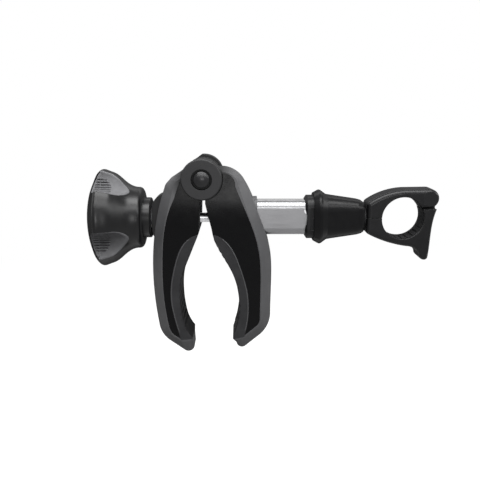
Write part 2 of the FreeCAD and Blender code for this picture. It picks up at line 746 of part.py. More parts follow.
# Hinge pin with a domed head in the front well, nut in the back well
head_in = -hinge_depth + hinge_well_depth
dome_foot = -hinge_depth + 0.8
dome_r = (hinge_head_r ** 2 + hinge_dome_rise ** 2) / (2 * hinge_dome_rise)
head = cyl_y(hinge_x, hinge_z, hinge_head_r, dome_foot, head_in - rest_gap)
dome = Part.makeSphere(dome_r, V(hinge_x, dome_foot - hinge_dome_rise + dome_r, hinge_z)).common(
    cyl_y(hinge_x, hinge_z, hinge_head_r, dome_foot - 2 * hinge_dome_rise, dome_foot))
hinge_pin = fused([head, dome, cyl_y(hinge_x, hinge_z, hinge_pin_r, head_in - rest_gap, hinge_depth - 1.0)])
save(hinge_pin, "hinge_pin")
hinge_nut = hex_y(hinge_x, hinge_z, hinge_nut_r, -head_in + rest_gap, hinge_depth - 1.6).cut(
    cyl_y(hinge_x, hinge_z, hinge_pin_r, 0, hinge_depth))
save(hinge_nut, "hinge_nut")

# Clamping rod with its trunnion and the nut that keeps the knob on
def save_on_rod(shape, name):
    moved = shape.copy()
    moved.translate(V(0, 0, rod_z))
    save(moved, name)


trunnion = cyl_y(trunnion_x, 0, trunnion_r, -trunnion_half, trunnion_half).cut(
    cyl_x(rod_r, trunnion_x - 2 * trunnion_r, trunnion_x + 2 * trunnion_r))
save_on_rod(trunnion, "rod_trunnion")
save_on_rod(cyl_x(rod_r, rod_left, trunnion_x + rod_right_run), "clamping_rod")
rod_end_nut = hex_x(rod_end_nut_r, rod_left + 1.0, rod_left + 1.0 + rod_end_nut_thick).cut(
    cyl_x(rod_r, rod_left, rod_left + 2 * rod_end_nut_thick))
save_on_rod(rod_end_nut, "rod_end_nut")

# Rocking seat in the left jaw and thrust washer against the knob
seat_left = seat_x - seat_corner_r
corner_z = seat_r - seat_corner_r
corner_out = seat_corner_r * math.sqrt(0.5)
rocker_seat = slab([
    (seat_left, -corner_z),
    ("line", (seat_left, corner_z)),
    ("arc", (seat_x - corner_out, corner_z + corner_out), (seat_x, seat_r)),
    ("arc", (seat_x + seat_r, 0), (seat_x, -seat_r)),
    ("arc", (seat_x - corner_out, -corner_z - corner_out), (seat_left, -corner_z)),
], -seat_half_width, seat_half_width)
rocker_seat = rocker_seat.cut(cyl_x(rod_r + slide_gap, seat_left - 1, seat_x + seat_r + 1))
save_on_rod(rocker_seat, "rocker_seat")
washer_left = seat_left - washer_thick
thrust_washer = cyl_x(washer_r, washer_left, seat_left).cut(cyl_x(rod_r + slide_gap, washer_left, seat_left))
save_on_rod(thrust_washer, "thrust_washer")

# Knob: a trumpet form with finger scoops between its lobes, each scoop lined with rubber
neck_right = washer_left - knob_gap
shoulder_x = neck_right - knob_neck_length
cap_seam = neck_right - knob_length + knob_cap_depth
knob_end = neck_right - knob_length


def trumpet():
    # Flared outer form of the knob, from the domed end to the neck
    lobe = knob_lobe_r
    root = knob_shoulder_r
    return revolve_x([
        (knob_end, 0),
        [(knob_end + 1.0, lobe - 23.3), (knob_end + 3.1, lobe - 14.3), (knob_end + 5.3, lobe - 8.3),
         (knob_end + 7.7, lobe - 3.3), (knob_end + 10.2, lobe - 0.6)],
        [(knob_end + 11.8, lobe), (knob_end + 15.5, lobe - 1.0), (knob_end + 20.5, lobe - 2.9),
         (knob_end + 25.4, lobe - 6.4), (knob_end + 30.3, lobe - 10.6), (knob_end + 35.2, root + 1.0),
         (knob_end + 40.1, root)],
        (shoulder_x - 3.0, root),
        [(shoulder_x - 1.2, root - 0.8), (shoulder_x, root - 3.2)],
        (shoulder_x, 0),
    ])


def scoop_axis(i):
    angle = math.radians(knob_scoop_turn + 360.0 / knob_lobe_count * i)
    away = knob_scoop_floor + knob_scoop_r
    return V(knob_end - 2, -away * math.sin(angle), away * math.cos(angle))


def scoop(i, r):
    # Round-bottomed channel along the knob, between two lobes
    return Part.makeCylinder(r, knob_length, scoop_axis(i), V(1, 0, 0))


def scoop_rim(edge):
    spot = edge.valueAt(0.5 * (edge.FirstParameter + edge.LastParameter))
    axes = [scoop_axis(i) for i in range(knob_lobe_count)]
    return any(abs(math.hypot(spot.y - a.y, spot.z - a.z) - knob_scoop_r) < 0.01 for a in axes)


linings = [scoop(i, knob_scoop_r + grip_thick) for i in range(knob_lobe_count)]
lobed = without(trumpet(), *[scoop(i, knob_scoop_r) for i in range(knob_lobe_count)])
lobed = round_edges(lobed, knob_scoop_round, scoop_rim)
grip_start = cap_seam + grip_seam_gap
grip_side = block(grip_start, neck_right, -2 * knob_lobe_r, 2 * knob_lobe_r, -2 * knob_lobe_r, 2 * knob_lobe_r)
pockets = [lining.common(grip_side) for lining in linings]
grips = [lobed.common(pocket) for pocket in pockets]
neck = cyl_x(knob_neck_r, shoulder_x, neck_right)
neck = round_edges(neck, 1.0, lambda e: abs(e.CenterOfMass.x - neck_right) < 0.01)
cavity = fused([cyl_x(knob_cavity_r, cap_seam - 1, shoulder_x - knob_wall),
                cyl_x(hub_r, shoulder_x - knob_wall - 1, neck_right + 1)])
body_side = block(cap_seam, neck_right + 1, -60, 60, -60, 60)
knob_body = fused([lobed.common(body_side), neck])
knob_body = without(knob_body, cavity, *pockets)
save_on_rod(knob_body, "knob_body")
cap_side = block(knob_end - 5, cap_seam, -60, 60, -60, 60)
knob_cap = lobed.common(cap_side)
knob_cap = knob_cap.cut(cyl_x(knob_cavity_r, cap_seam - 4.5, cap_seam + 1))
save_on_rod(knob_cap, "knob_cap")
save_on_rod(Part.makeCompound(grips), "knob_grips")

# Inside the knob: threaded hub, torque ratchet and spring
hub_flange_left = shoulder_x - knob_wall - hub_flange_thick


def teeth(x0, x1, inner, outer):
    blocks = []
    for i in range(ratchet_teeth):
        tooth = block(x0, x1, -1.6, 1.6, inner, outer)
        tooth.rotate(V(0, 0, 0), V(1, 0, 0), 360.0 / ratchet_teeth * i)
        blocks.append(tooth)
    return blocks


hub = fused([cyl_x(hub_r, hub_flange_left, neck_right - 0.6),
             cyl_x(hub_flange_r, hub_flange_left, shoulder_x - knob_wall)])
hub = without(hub, cyl_x(rod_r + turn_fit, hub_flange_left, neck_right),
              *teeth(hub_flange_left, hub_flange_left + ratchet_tooth, hub_r + 1, hub_flange_r))
save_on_rod(hub, "drive_hub")
click_left = hub_flange_left - click_thick
click_ring = cyl_x(hub_flange_r, click_left, hub_flange_left).cut(
    cyl_x(rod_r + 1.5, click_left, hub_flange_left))
click_ring = fused([click_ring] + teeth(hub_flange_left, hub_flange_left + ratchet_tooth,
                                        hub_r + 1, hub_flange_r))
save_on_rod(click_ring, "click_ring")
retainer_right = cap_seam + retainer_thick
torque_spring = coil_x(retainer_right, click_left, torque_coil_r, torque_wire_r, torque_turns)
save_on_rod(torque_spring, "torque_spring")
spring_retainer = cyl_x(knob_cavity_r, cap_seam, retainer_right).cut(
    cyl_x(rod_end_nut_r + 0.8, cap_seam, retainer_right))
save_on_rod(spring_retainer, "spring_retainer")
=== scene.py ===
import json
import math

import bmesh
import bpy
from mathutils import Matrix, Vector
from mathutils.bvhtree import BVHTree


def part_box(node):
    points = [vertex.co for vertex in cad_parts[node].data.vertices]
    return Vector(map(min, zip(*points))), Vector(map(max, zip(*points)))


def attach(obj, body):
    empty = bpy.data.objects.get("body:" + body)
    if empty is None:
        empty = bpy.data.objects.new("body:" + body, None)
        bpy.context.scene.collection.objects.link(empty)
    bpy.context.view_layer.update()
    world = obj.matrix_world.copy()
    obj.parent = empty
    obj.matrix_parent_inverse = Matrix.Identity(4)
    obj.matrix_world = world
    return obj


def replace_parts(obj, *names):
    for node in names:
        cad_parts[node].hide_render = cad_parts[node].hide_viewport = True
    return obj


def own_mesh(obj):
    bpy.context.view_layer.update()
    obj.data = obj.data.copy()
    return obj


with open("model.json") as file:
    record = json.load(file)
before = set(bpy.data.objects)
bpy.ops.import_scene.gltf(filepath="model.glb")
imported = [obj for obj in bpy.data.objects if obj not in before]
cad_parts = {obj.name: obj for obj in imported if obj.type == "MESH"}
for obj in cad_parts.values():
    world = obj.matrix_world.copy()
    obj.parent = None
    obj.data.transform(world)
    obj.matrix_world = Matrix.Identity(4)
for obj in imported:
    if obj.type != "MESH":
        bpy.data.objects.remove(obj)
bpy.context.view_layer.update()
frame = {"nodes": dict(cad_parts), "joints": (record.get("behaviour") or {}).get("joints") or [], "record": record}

# Bike frame holder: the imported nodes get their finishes, and the ribs, thread, pad lips and
# other small forms are added as pieces. Metres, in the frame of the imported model.
nodes = frame["nodes"]
joints = {joint["name"]: joint for joint in frame["joints"]}
scene = bpy.context.scene

# Camera at the photograph's view: place, degrees below level, lens and sensor in millimetres
camera_place = (-0.1314, -0.49172, 0.09269)
camera_down = 12.9
camera_lens = 45.75
camera_sensor = 36.0

# Stage: a floor that is white to the eye and grey for bounced light, and a dim world. Part of
# the floor's white glows by itself: least near the object, where the shadow is, and all of it
# from some distance on.
floor_z = -0.26
floor_reach = 6.0
floor_seen = 0.96
floor_bounce = 0.12
near_glow = 0.72
glow_grows_from = 0.25
glow_full_at = 1.1
world_diffuse = 0.05
middle = (-0.11, 0.0, -0.02)

# Soft lamps: place, target, width and height, watts
lamps = {
    "top_box": ((-0.11, -0.28, 0.96), middle, (1.2, 0.4), 28.0),
    "front_box": ((0.45, -0.78, 0.80), (0.45, 0.0, -0.02), (2.6, 0.28), 27.0),
    "low_box": ((-0.03, -1.15, 0.13), middle, (0.5, 0.24), 5.2),
    "left_box": ((-1.05, 0.05, 0.40), middle, (0.4, 0.8), 2.0),
    "right_box": ((0.95, -0.05, 0.42), middle, (0.9, 0.32), 6.5),
    "back_box": ((-0.11, 0.95, 0.60), middle, (1.2, 0.4), 3.5),
}

# The jaws' hinge: its axis, and the shade painted round it. The frame is painted darker within
# the discs' radius, and most in the knuckle, nearer the middle than the discs' faces.
hinge_x, _, hinge_z = joints["jaw_hinge"]["pos_m"]
disc_r = 0.0168
disc_fade = 0.009
# Shares of painted shade: a shade on the discs, almost black on the knuckle between them
disc_shade_share = 0.78
knuckle_half_depth = 0.0243
knuckle_fade = 0.0003
knuckle_shade_share = 0.93
hinge_shade_black = (0.003, 0.003, 0.0032)

# Gloss: roughness of a surface seen edge on, and how far it has turned away, from nought to
# one, where that begins and where it is complete
turned_rough = 0.95
turned_start = 0.45
turned_end = 0.80

# Rounding that the shaders give to sharp edges, and the cosines between rounded and flat
# normal that count as an edge and as flat
plastic_edge = 0.00035
rubber_edge = 0.0005
metal_edge = 0.00025
edge_cosine = 0.86
flat_cosine = 0.995


def material(name):
    made = bpy.data.materials.new(name)
    made.use_nodes = True
    made.node_tree.nodes.clear()
    out = made.node_tree.nodes.new("ShaderNodeOutputMaterial")
    shader = made.node_tree.nodes.new("ShaderNodeBsdfPrincipled")
    made.node_tree.links.new(shader.outputs["BSDF"], out.inputs["Surface"])
    return made, made.node_tree, shader


def tinted(colour, factor, lift=0.0):
    return tuple(min(1.0, c * factor + lift) for c in colour)


def arithmetic(tree, operation, *values):
    # One maths node, whose values are numbers or other nodes' outputs
    node = tree.nodes.new("ShaderNodeMath")
    node.operation = operation
    for socket, value in zip(node.inputs, values):
        if isinstance(value, float):
            socket.default_value = value
        else:
            tree.links.new(value, socket)
    return node.outputs[0]


def coordinates(tree, stretch=(1, 1, 1)):
    # Object coordinates in metres, stretched for brushed or drawn grain
    source = tree.nodes.new("ShaderNodeTexCoord")
    mapping = tree.nodes.new("ShaderNodeMapping")
    mapping.inputs["Scale"].default_value = stretch
    tree.links.new(source.outputs["Object"], mapping.inputs["Vector"])
    return mapping.outputs["Vector"]


def parts_of(tree, vector):
    node = tree.nodes.new("ShaderNodeSeparateXYZ")
    tree.links.new(vector, node.inputs[0])
    return node.outputs


def noise(tree, scale, detail=3.0, rough=0.55, stretch=(1, 1, 1)):
    node = tree.nodes.new("ShaderNodeTexNoise")
    node.inputs["Scale"].default_value = scale
    node.inputs["Detail"].default_value = detail
    node.inputs["Roughness"].default_value = rough
    tree.links.new(coordinates(tree, stretch), node.inputs["Vector"])
    return node.outputs["Fac"]


def cells(tree, scale):
    node = tree.nodes.new("ShaderNodeTexVoronoi")
    node.inputs["Scale"].default_value = scale
    tree.links.new(coordinates(tree), node.inputs["Vector"])
    return node.outputs["Distance"]


def spread(tree, value, low, high, start=0.3, end=0.7):
    # From low to high while the value goes from start to end, held outside
    node = tree.nodes.new("ShaderNodeMapRange")
    node.inputs["From Min"].default_value = start
    node.inputs["From Max"].default_value = end
    node.inputs["To Min"].default_value = low
    node.inputs["To Max"].default_value = high
    tree.links.new(value, node.inputs["Value"])
    return node.outputs["Result"]


def blend_colours(tree, factor, first, second):
    node = tree.nodes.new("ShaderNodeMix")
    node.data_type = "RGBA"
    for socket, value in ((6, first), (7, second)):
        if isinstance(value, tuple):
            node.inputs[socket].default_value = (*value, 1.0)
        else:
            tree.links.new(value, node.inputs[socket])
    tree.links.new(factor, node.inputs[0])
    return node.outputs[2]


def soft_edges(tree, radius):
    node = tree.nodes.new("ShaderNodeBevel")
    node.samples = 6
    node.inputs["Radius"].default_value = radius
    return node.outputs["Normal"]


def edge_mask(tree, edges):
    # How far the rounded normal leaves the flat one: one along edges, nought elsewhere
    geometry = tree.nodes.new("ShaderNodeNewGeometry")
    dot = tree.nodes.new("ShaderNodeVectorMath")
    dot.operation = "DOT_PRODUCT"
    tree.links.new(edges, dot.inputs[0])
    tree.links.new(geometry.outputs["Normal"], dot.inputs[1])
    return spread(tree, dot.outputs["Value"], 1.0, 0.0, start=edge_cosine, end=flat_cosine)


def softer_at_grazing(tree, rough):
    # Gloss that fades where the surface turns away
    weight = tree.nodes.new("ShaderNodeLayerWeight")
    weight.inputs["Blend"].default_value = 0.5
    turned = spread(tree, weight.outputs["Facing"], 0.0, 1.0, turned_start, turned_end)
    gap = arithmetic(tree, "SUBTRACT", turned_rough, rough)
    return arithmetic(tree, "MULTIPLY_ADD", turned, gap, rough)


def bumped(tree, height, normal, strength, distance):
    node = tree.nodes.new("ShaderNodeBump")
    node.inputs["Strength"].default_value = strength
    node.inputs["Distance"].default_value = distance
    tree.links.new(height, node.inputs["Height"])
    tree.links.new(normal, node.inputs["Normal"])
    return node.outputs["Normal"]


def plastic(name, colour, rough, grain, specular, wear, grain_depth):
    # Moulded plastic: faint mottling, fine spark-eroded grain, edges rubbed a little paler
    made, tree, shader = material(name)
    clouds = spread(tree, noise(tree, scale=55.0, detail=4.0), 0.0, 1.0)
    mottle = blend_colours(tree, clouds, tinted(colour, 0.90), tinted(colour, 1.10))
    edges = soft_edges(tree, plastic_edge)
    scratches = noise(tree, scale=420.0, detail=5.0, rough=0.7)
    scuffs = spread(tree, scratches, 0.2, 1.0, start=0.42, end=0.62)
    rubbing = arithmetic(tree, "MULTIPLY", edge_mask(tree, edges), scuffs)
    worn = arithmetic(tree, "MULTIPLY", rubbing, wear)
    base = blend_colours(tree, worn, mottle, tinted(colour, 1.6, lift=0.008))
    tree.links.new(base, shader.inputs["Base Color"])
    uneven = spread(tree, noise(tree, scale=160.0, detail=4.0), rough - 0.04, rough + 0.05)
    tree.links.new(softer_at_grazing(tree, uneven), shader.inputs["Roughness"])
    pits = bumped(tree, noise(tree, grain, detail=2.0, rough=0.6), edges, strength=0.55, distance=grain_depth)
    waves = bumped(tree, noise(tree, scale=30.0, detail=1.0), pits, strength=0.12, distance=0.0004)
    tree.links.new(waves, shader.inputs["Normal"])
    shader.inputs["Specular IOR Level"].default_value = specular
    return made


def rubber(name, colour, rough, specular):
    # Soft moulded rubber: pebbled bump, dusty mottling
    made, tree, shader = material(name)
    patches = noise(tree, scale=90.0, detail=6.0, rough=0.65)
    dust = spread(tree, patches, 0.0, 1.0, start=0.35, end=0.68)
    base = blend_colours(tree, dust, tinted(colour, 0.88), tinted(colour, 1.12, lift=0.001))
    tree.links.new(base, shader.inputs["Base Color"])
    uneven = spread(tree, noise(tree, scale=240.0, detail=4.0), rough - 0.07, rough + 0.06)
    tree.links.new(uneven, shader.inputs["Roughness"])
    edges = soft_edges(tree, rubber_edge)
    pebbles = bumped(tree, cells(tree, scale=1500.0), edges, strength=0.35, distance=0.00008)
    waves = bumped(tree, noise(tree, scale=60.0, detail=2.0), pebbles, strength=0.15, distance=0.0003)
    tree.links.new(waves, shader.inputs["Normal"])
    shader.inputs["Specular IOR Level"].default_value = specular
    return made


def metal(name, colour, rough, along_x=1.0, grain=900.0, wear=0.25):
    # Drawn, turned or plated metal with small stains; with along_x under 1 its grain is drawn out along X
    made, tree, shader = material(name)
    patches = noise(tree, scale=70.0, detail=6.0, rough=0.62)
    stains = spread(tree, patches, 0.0, 1.0, start=0.38, end=0.72)
    base = blend_colours(tree, stains, colour, tinted(colour, 1.0 - wear))
    tree.links.new(base, shader.inputs["Base Color"])
    streaks = noise(tree, grain, detail=3.0, rough=0.6, stretch=(along_x, 1, 1))
    tree.links.new(spread(tree, streaks, rough - 0.06, rough + 0.10), shader.inputs["Roughness"])
    brushed = bumped(tree, streaks, soft_edges(tree, metal_edge), strength=0.25, distance=0.00003)
    tree.links.new(brushed, shader.inputs["Normal"])
    shader.inputs["Metallic"].default_value = 1.0
    return made


def base_colour(made):
    # The shader's colour socket, and what feeds it so far
    shader = next(node for node in made.node_tree.nodes if node.type == "BSDF_PRINCIPLED")
    socket = shader.inputs["Base Color"]
    return socket, socket.links[0].from_socket


def paint_hinge_shade(made):
    # Painted shade round the hinge: the frame is painted a shade darker on the discs, almost black on the ribbed
    # knuckle set back between them
    tree = made.node_tree
    x, y, z = parts_of(tree, coordinates(tree))
    place = tree.nodes.new("ShaderNodeCombineXYZ")
    tree.links.new(x, place.inputs["X"])
    tree.links.new(z, place.inputs["Z"])
    away = tree.nodes.new("ShaderNodeVectorMath")
    away.operation = "DISTANCE"
    away.inputs[1].default_value = (hinge_x, 0.0, hinge_z)
    tree.links.new(place.outputs[0], away.inputs[0])
    near = spread(tree, away.outputs["Value"], 1.0, 0.0, disc_r, disc_r + disc_fade)
    deep = spread(tree, arithmetic(tree, "ABSOLUTE", y), knuckle_shade_share, disc_shade_share,
                  knuckle_half_depth, knuckle_half_depth + knuckle_fade)
    socket, plain = base_colour(made)
    share = arithmetic(tree, "MULTIPLY", near, deep)
    tree.links.new(blend_colours(tree, share, plain, hinge_shade_black), socket)


def paint_grip_face_shade(made, grip_face_shade):
    # Painted shade: the faces across the pad, the gripping face among them, are painted near black, and the side
    # faces keep the rubber's grey
    tree = made.node_tree
    geometry = tree.nodes.new("ShaderNodeNewGeometry")
    across = arithmetic(tree, "ABSOLUTE", parts_of(tree, geometry.outputs["True Normal"])["Y"])
    socket, sides = base_colour(made)
    share = spread(tree, across, 0.0, 1.0, start=0.55, end=0.75)
    tree.links.new(blend_colours(tree, share, grip_face_shade, sides), socket)


# Plastics: name, colour, roughness, grains per metre, specular level, wear, depth of grain
black = (0.0012, 0.0012, 0.0014)
plastics = {
    "jaw_frame": ("jaw_frame_satin", (0.0415, 0.0415, 0.0432), 0.50, 2600.0, 0.15, 0.1, 10e-6),
    "cover": ("cover_matt", black, 0.25, 3200.0, 0.065, 0.1, 3e-6),
    "clamp": ("clamp_satin", (0.0022, 0.0022, 0.0025), 0.31, 2800.0, 0.14, 0.05, 3e-6),
    "pin_cap": ("pin_cap_satin", (0.0026, 0.0026, 0.0029), 0.45, 2800.0, 0.12, 0.05, 5e-6),
    "hinge_head": ("black_coated_head", (0.005, 0.005, 0.0055), 0.34, 2200.0, 0.20, 0.3, 30e-6),
    "plug": ("plug_plain", (0.008, 0.008, 0.0085), 0.60, 2400.0, 0.10, 0.3, 30e-6),
    "collar": ("collar_satin", (0.0036, 0.0036, 0.0040), 0.38, 2600.0, 0.12, 0.05, 5e-6),
    "sleeve": ("sleeve_satin", black, 0.32, 2800.0, 0.10, 0.05, 3e-6),
    "seat": ("seat_black", (0.005, 0.005, 0.0052), 0.45, 2000.0, 0.15, 0.3, 30e-6),
    "knob": ("knob_soft_gloss", black, 0.32, 3000.0, 0.19, 0.1, 2e-6),
    "knob_cap": ("knob_cap_soft_gloss", black, 0.38, 3000.0, 0.065, 0.1, 3e-6),
    "inner_plastic": ("inner_plastic", (0.10, 0.10, 0.105), 0.45, 2400.0, 0.3, 0.3, 30e-6),
}
# Rubbers: name, colour, roughness, specular level
rubbers = {
    "pad": ("pad_rubber", (0.0205, 0.0205, 0.0215), 0.80, 0.04),
    "liner": ("liner_rubber", (0.005, 0.005, 0.0054), 0.85, 0.06),
    "grip": ("grip_rubber", (0.077, 0.077, 0.080), 0.74, 0.04),
}
finishes = {slot: plastic(*values) for slot, values in plastics.items()}
finishes.update({slot: rubber(*values) for slot, values in rubbers.items()})
finishes["tube"] = metal("anodised_tube", (0.145, 0.145, 0.149), 0.34, along_x=0.03, grain=1500.0, wear=0.05)
finishes["steel_pin"] = metal("zinc_steel", (0.46, 0.46, 0.47), 0.30, along_x=0.06, grain=1400.0)
finishes["inner_metal"] = metal("inner_metal", (0.60, 0.60, 0.61), 0.34)
finishes["spring"] = metal("spring_steel", (0.42, 0.42, 0.43), 0.32, grain=1800.0)
dark_steel = metal("phosphated_steel", (0.045, 0.045, 0.047), 0.48, grain=1600.0)
# Painted shade round the hinge on the jaw frame
paint_hinge_shade(finishes["jaw_frame"])
# Painted shade on the pads' gripping faces, near black
paint_grip_face_shade(finishes["pad"], (0.002, 0.002, 0.0022))

slot_of = {entry["node"]: entry["material_slot"] for entry in frame["record"]["subparts"]}
for node_name, node in nodes.items():
    node.data.materials.clear()
    node.data.materials.append(finishes[slot_of[node_name]])
for node_name in ("thrust_washer", "rod_end_nut"):
    nodes[node_name].data.materials[0] = dark_steel


def piece(name, mesh_maker, body, slot_name):
    mesh = bpy.data.meshes.new(name)
    builder = bmesh.new()
    mesh_maker(builder)
    bmesh.ops.recalc_face_normals(builder, faces=builder.faces)
    for face in builder.faces:
        face.smooth = True
    builder.to_mesh(mesh)
    builder.free()
    made = bpy.data.objects.new(name, mesh)
    scene.collection.objects.link(made)
    mesh.materials.append(finishes[slot_name])
    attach(made, body)
    return made


def join_rings(builder, first, second):
    for j in range(len(first)):
        k = (j + 1) % len(first)
        builder.faces.new((first[j], first[k], second[k], second[j]))


def sweep(builder, rings):
    # Closed skin through rings of points, capped at both ends
    for first, second in zip(rings, rings[1:]):
        join_rings(builder, first, second)
    builder.faces.new(rings[0])
    builder.faces.new(list(reversed(rings[-1])))


# Low rounded ridge: its outline across, as shares of half width and height, and its ends' taper
ridge_crown = [(-0.85, 0.1), (-0.45, 0.85), (0.0, 1.0), (0.45, 0.85), (0.85, 0.1)]
ridge_taper_steps = 2.5
ridge_end_width = 0.25


def heading(path, i):
    last = len(path) - 1
    return (path[min(i + 1, last)] - path[max(i - 1, 0)]).normalized()


def add_ridge(builder, path, normals, half_width, height, sink):
    # Ridge along a path on a surface, with its feet sunk into it
    rings = []
    for i, (spot, normal) in enumerate(zip(path, normals)):
        side = heading(path, i).cross(normal).normalized()
        from_end = min(i, len(path) - 1 - i)
        size = math.sin(math.pi * min(1.0, from_end / ridge_taper_steps) / 2)
        w = half_width * (ridge_end_width + (1 - ridge_end_width) * size)
        h = height * size
        outline = [(-1.0, -sink)] + [(u, v * h) for u, v in ridge_crown] + [(1.0, -sink)]
        rings.append([builder.verts.new(spot + side * (w * u) + normal * v) for u, v in outline])
    sweep(builder, rings)


# The knob: its axis, its scoops and its cap, as in the CAD model. A scoop is a round channel
# of radius scoop_r whose axis is scoop_reach away from the knob's. The dome is the cap's
# outline: distance from the knob's end, and radius.
rod_low, rod_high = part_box("clamping_rod")
rod_z = (rod_low.z + rod_high.z) / 2
knob_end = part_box("knob_cap")[0].x
scoop_count = 4
scoop_turn = math.radians(28.5)
scoop_reach = 0.0403
scoop_r = 0.0133
swing_limit = 1.18
swing_step = 0.02
dome = [(0.0010, 0.0160), (0.0031, 0.0250), (0.0053, 0.0310),
        (0.0077, 0.0360), (0.0102, 0.0387), (0.0118, 0.0393)]

# Rubber tongues that carry the scoops' linings forward over the cap: how far they stand off
# the wall, how deep their underside lies, how far they stay behind the dome's edge and how
# far they lap over the lining
lining_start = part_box("knob_grips")[0].x
tongue_rise = 0.00032
tongue_edge_rise = 0.00004
tongue_sink = 0.0003
tongue_margin = 0.0014
tongue_lap = 0.0006
tongue_rows = 12
tongue_columns = 20
tongue_crowding = 1.6

# Ribs on tongue and lining, and dark strips as painted shade on the floors of the grooves between them. The zone
# is the longest rib's reach along the lining, and the shortest rib's is a share of it.
rib_count = 11
rib_pitch = 0.0023
rib_half_width = 0.00074
rib_height = 0.00060
rib_sink = 0.00045
rib_margin = 0.0008
rib_steps = 22
rib_zone = 0.0098
rib_shortest = 0.25
rib_step_down = 0.0012
# Half width and height of the dark strips painted as shade on the groove floors
groove_shade_half_width = 0.00044
groove_shade_height = 0.00012


def along(points, value, column):
    # Looks a value up in one column of a table of pairs and reads the other, held at both ends
    other = 1 - column
    for a, b in zip(points, points[1:]):
        if value <= b[column]:
            share = max(0.0, (value - a[column]) / (b[column] - a[column]))
            return a[other] + (b[other] - a[other]) * share
    return points[-1][other]


def scoop_radius(swing):
    # Distance from the knob's axis of the scoop's wall, at an angle about the scoop's own axis
    return math.hypot(scoop_reach - scoop_r * math.cos(swing), scoop_r * math.sin(swing))


def scoop_spot(turn, x, swing, lift):
    # Point on or over a scoop's wall, and the wall's outward normal there
    out = Vector((0, -math.sin(turn), math.cos(turn)))
    side = Vector((0, math.cos(turn), math.sin(turn)))
    aim = side * math.sin(swing) - out * math.cos(swing)
    return Vector((x, 0, rod_z)) + out * scoop_reach + aim * (scoop_r - lift), -aim


def dome_edge(swing):
    return knob_end + along(dome, scoop_radius(swing), 1)


def widest_swing(x):
    # How far round the scoop, in small steps, its wall reaches before it breaks out through the dome
    limit = along(dome, x - knob_end, 0)
    swing = 0.0
    while swing < swing_limit and scoop_radius(swing + swing_step) < limit:
        swing += swing_step
    return swing


def scoop_turns():
    return [scoop_turn + 2 * math.pi * i / scoop_count for i in range(scoop_count)]


def tongue_sheet(builder, turn, under):
    # Grid of points over one scoop: the rubber's face, or its underside within the plastic
    first = dome_edge(0.0) + tongue_margin
    last = lining_start + tongue_lap
    sheet = []
    for i in range(tongue_rows + 1):
        x = first + (last - first) * (i / tongue_rows) ** tongue_crowding
        reach = widest_swing(x - tongue_margin)
        line = []
        for j in range(tongue_columns + 1):
            at_edge = i == 0 or j in (0, tongue_columns)
            lift = -tongue_sink if under else (tongue_edge_rise if at_edge else tongue_rise)
            spot, _ = scoop_spot(turn, x, reach * (2 * j / tongue_columns - 1), lift)
            line.append(builder.verts.new(spot))
        sheet.append(line)
    return sheet


def sheet_border(sheet):
    start, end = sheet[0], sheet[-1]
    return start + [row[-1] for row in sheet[1:]] + end[-2::-1] + [row[0] for row in sheet[-2:0:-1]]


def make_tongues(builder):
    # Thin rubber tongue from the lining to near the cap's edge, closed underneath
    for turn in scoop_turns():
        sheets = [tongue_sheet(builder, turn, under) for under in (False, True)]
        for sheet in sheets:
            for a, b in zip(sheet, sheet[1:]):
                for j in range(tongue_columns):
                    builder.faces.new((a[j], a[j + 1], b[j + 1], b[j]))
        join_rings(builder, sheet_border(sheets[0]), sheet_border(sheets[1]))


def add_ribs(builder, count, half_width, height):
    # Ribs start at the tongue's edge and end on a rounded front: the middle ones are the longest
    for turn in scoop_turns():
        for i in range(count):
            share = (2 * i - (count - 1)) / (rib_count - 1)
            swing = share * rib_pitch * (rib_count - 1) / 2 / scoop_r
            start = dome_edge(swing) + tongue_margin + rib_margin
            length = rib_shortest + (1 - rib_shortest) * math.sqrt(max(0.0, 1.0 - share * share))
            stop = lining_start + rib_zone * length
            path = []
            normals = []
            for step in range(rib_steps):
                x = start + (stop - start) * step / (rib_steps - 1)
                rise = min(1.0, max(0.0, (lining_start + rib_step_down - x) / rib_step_down))
                spot, normal = scoop_spot(turn, x, swing, tongue_rise * rise)
                path.append(spot)
                normals.append(normal)
            add_ridge(builder, path, normals, half_width, height, rib_sink)


def make_ribs(builder):
    add_ribs(builder, rib_count, rib_half_width, rib_height)


# Dark strips between the ribs: painted shade on the groove floors
def make_groove_shade(builder):
    add_ribs(builder, rib_count - 1, groove_shade_half_width, groove_shade_height)


piece("grip_tongues", make_tongues, "knob", "grip")
piece("grip_ribs", make_ribs, "knob", "grip")
# The groove strips are in the plug's dark plastic, painted shade between the ribs
piece("grip_groove_shade", make_groove_shade, "knob", "plug")

# Pads: a smooth lip along both edges of the ribbed gripping face. A grip line runs up that
# face, in millimetres: across from the hinge's axis, and height in the frame. A lip's outline
# has a width across the pad, a depth into it and rounded corners, and it stands a little
# proud of the gripping face and in from the side face.
left_grip_line = [(-9.5, -99.8), (-15.4, -89.7), (-18.9, -70.0), (-17.8, -48.5), (-8.5, -23.4), (-2.7, -9.3)]
right_grip_line = [(23.9, -100.4), (28.3, -83.6), (29.2, -65.9), (24.6, -44.7), (10.1, -16.8), (7.5, -6.6)]
grip_line_steps = 9
lip_width = 0.0024
lip_depth = 0.0019
lip_proud = 0.0002
lip_inset = 0.0004
lip_corner = 0.22
lip_above_low_end = 0.006
lip_below_high_end = 0.004

# Probing for the pads' side faces: how far behind the grip line, and where a ray starts and
# how long it is
probe_depth = 0.004
probe_start = 0.05
probe_length = 0.06

# A fine bead round each pad's outer border, which is looked for level by level, over the
# pad's height less a trim at both ends together
border_levels = 44
border_samples = 140
border_from_top = 0.0035
border_trim = 0.0095
side_facing = 0.9
bead_inset = 0.0007
bead_half_width = 0.00042
bead_height = 0.00030


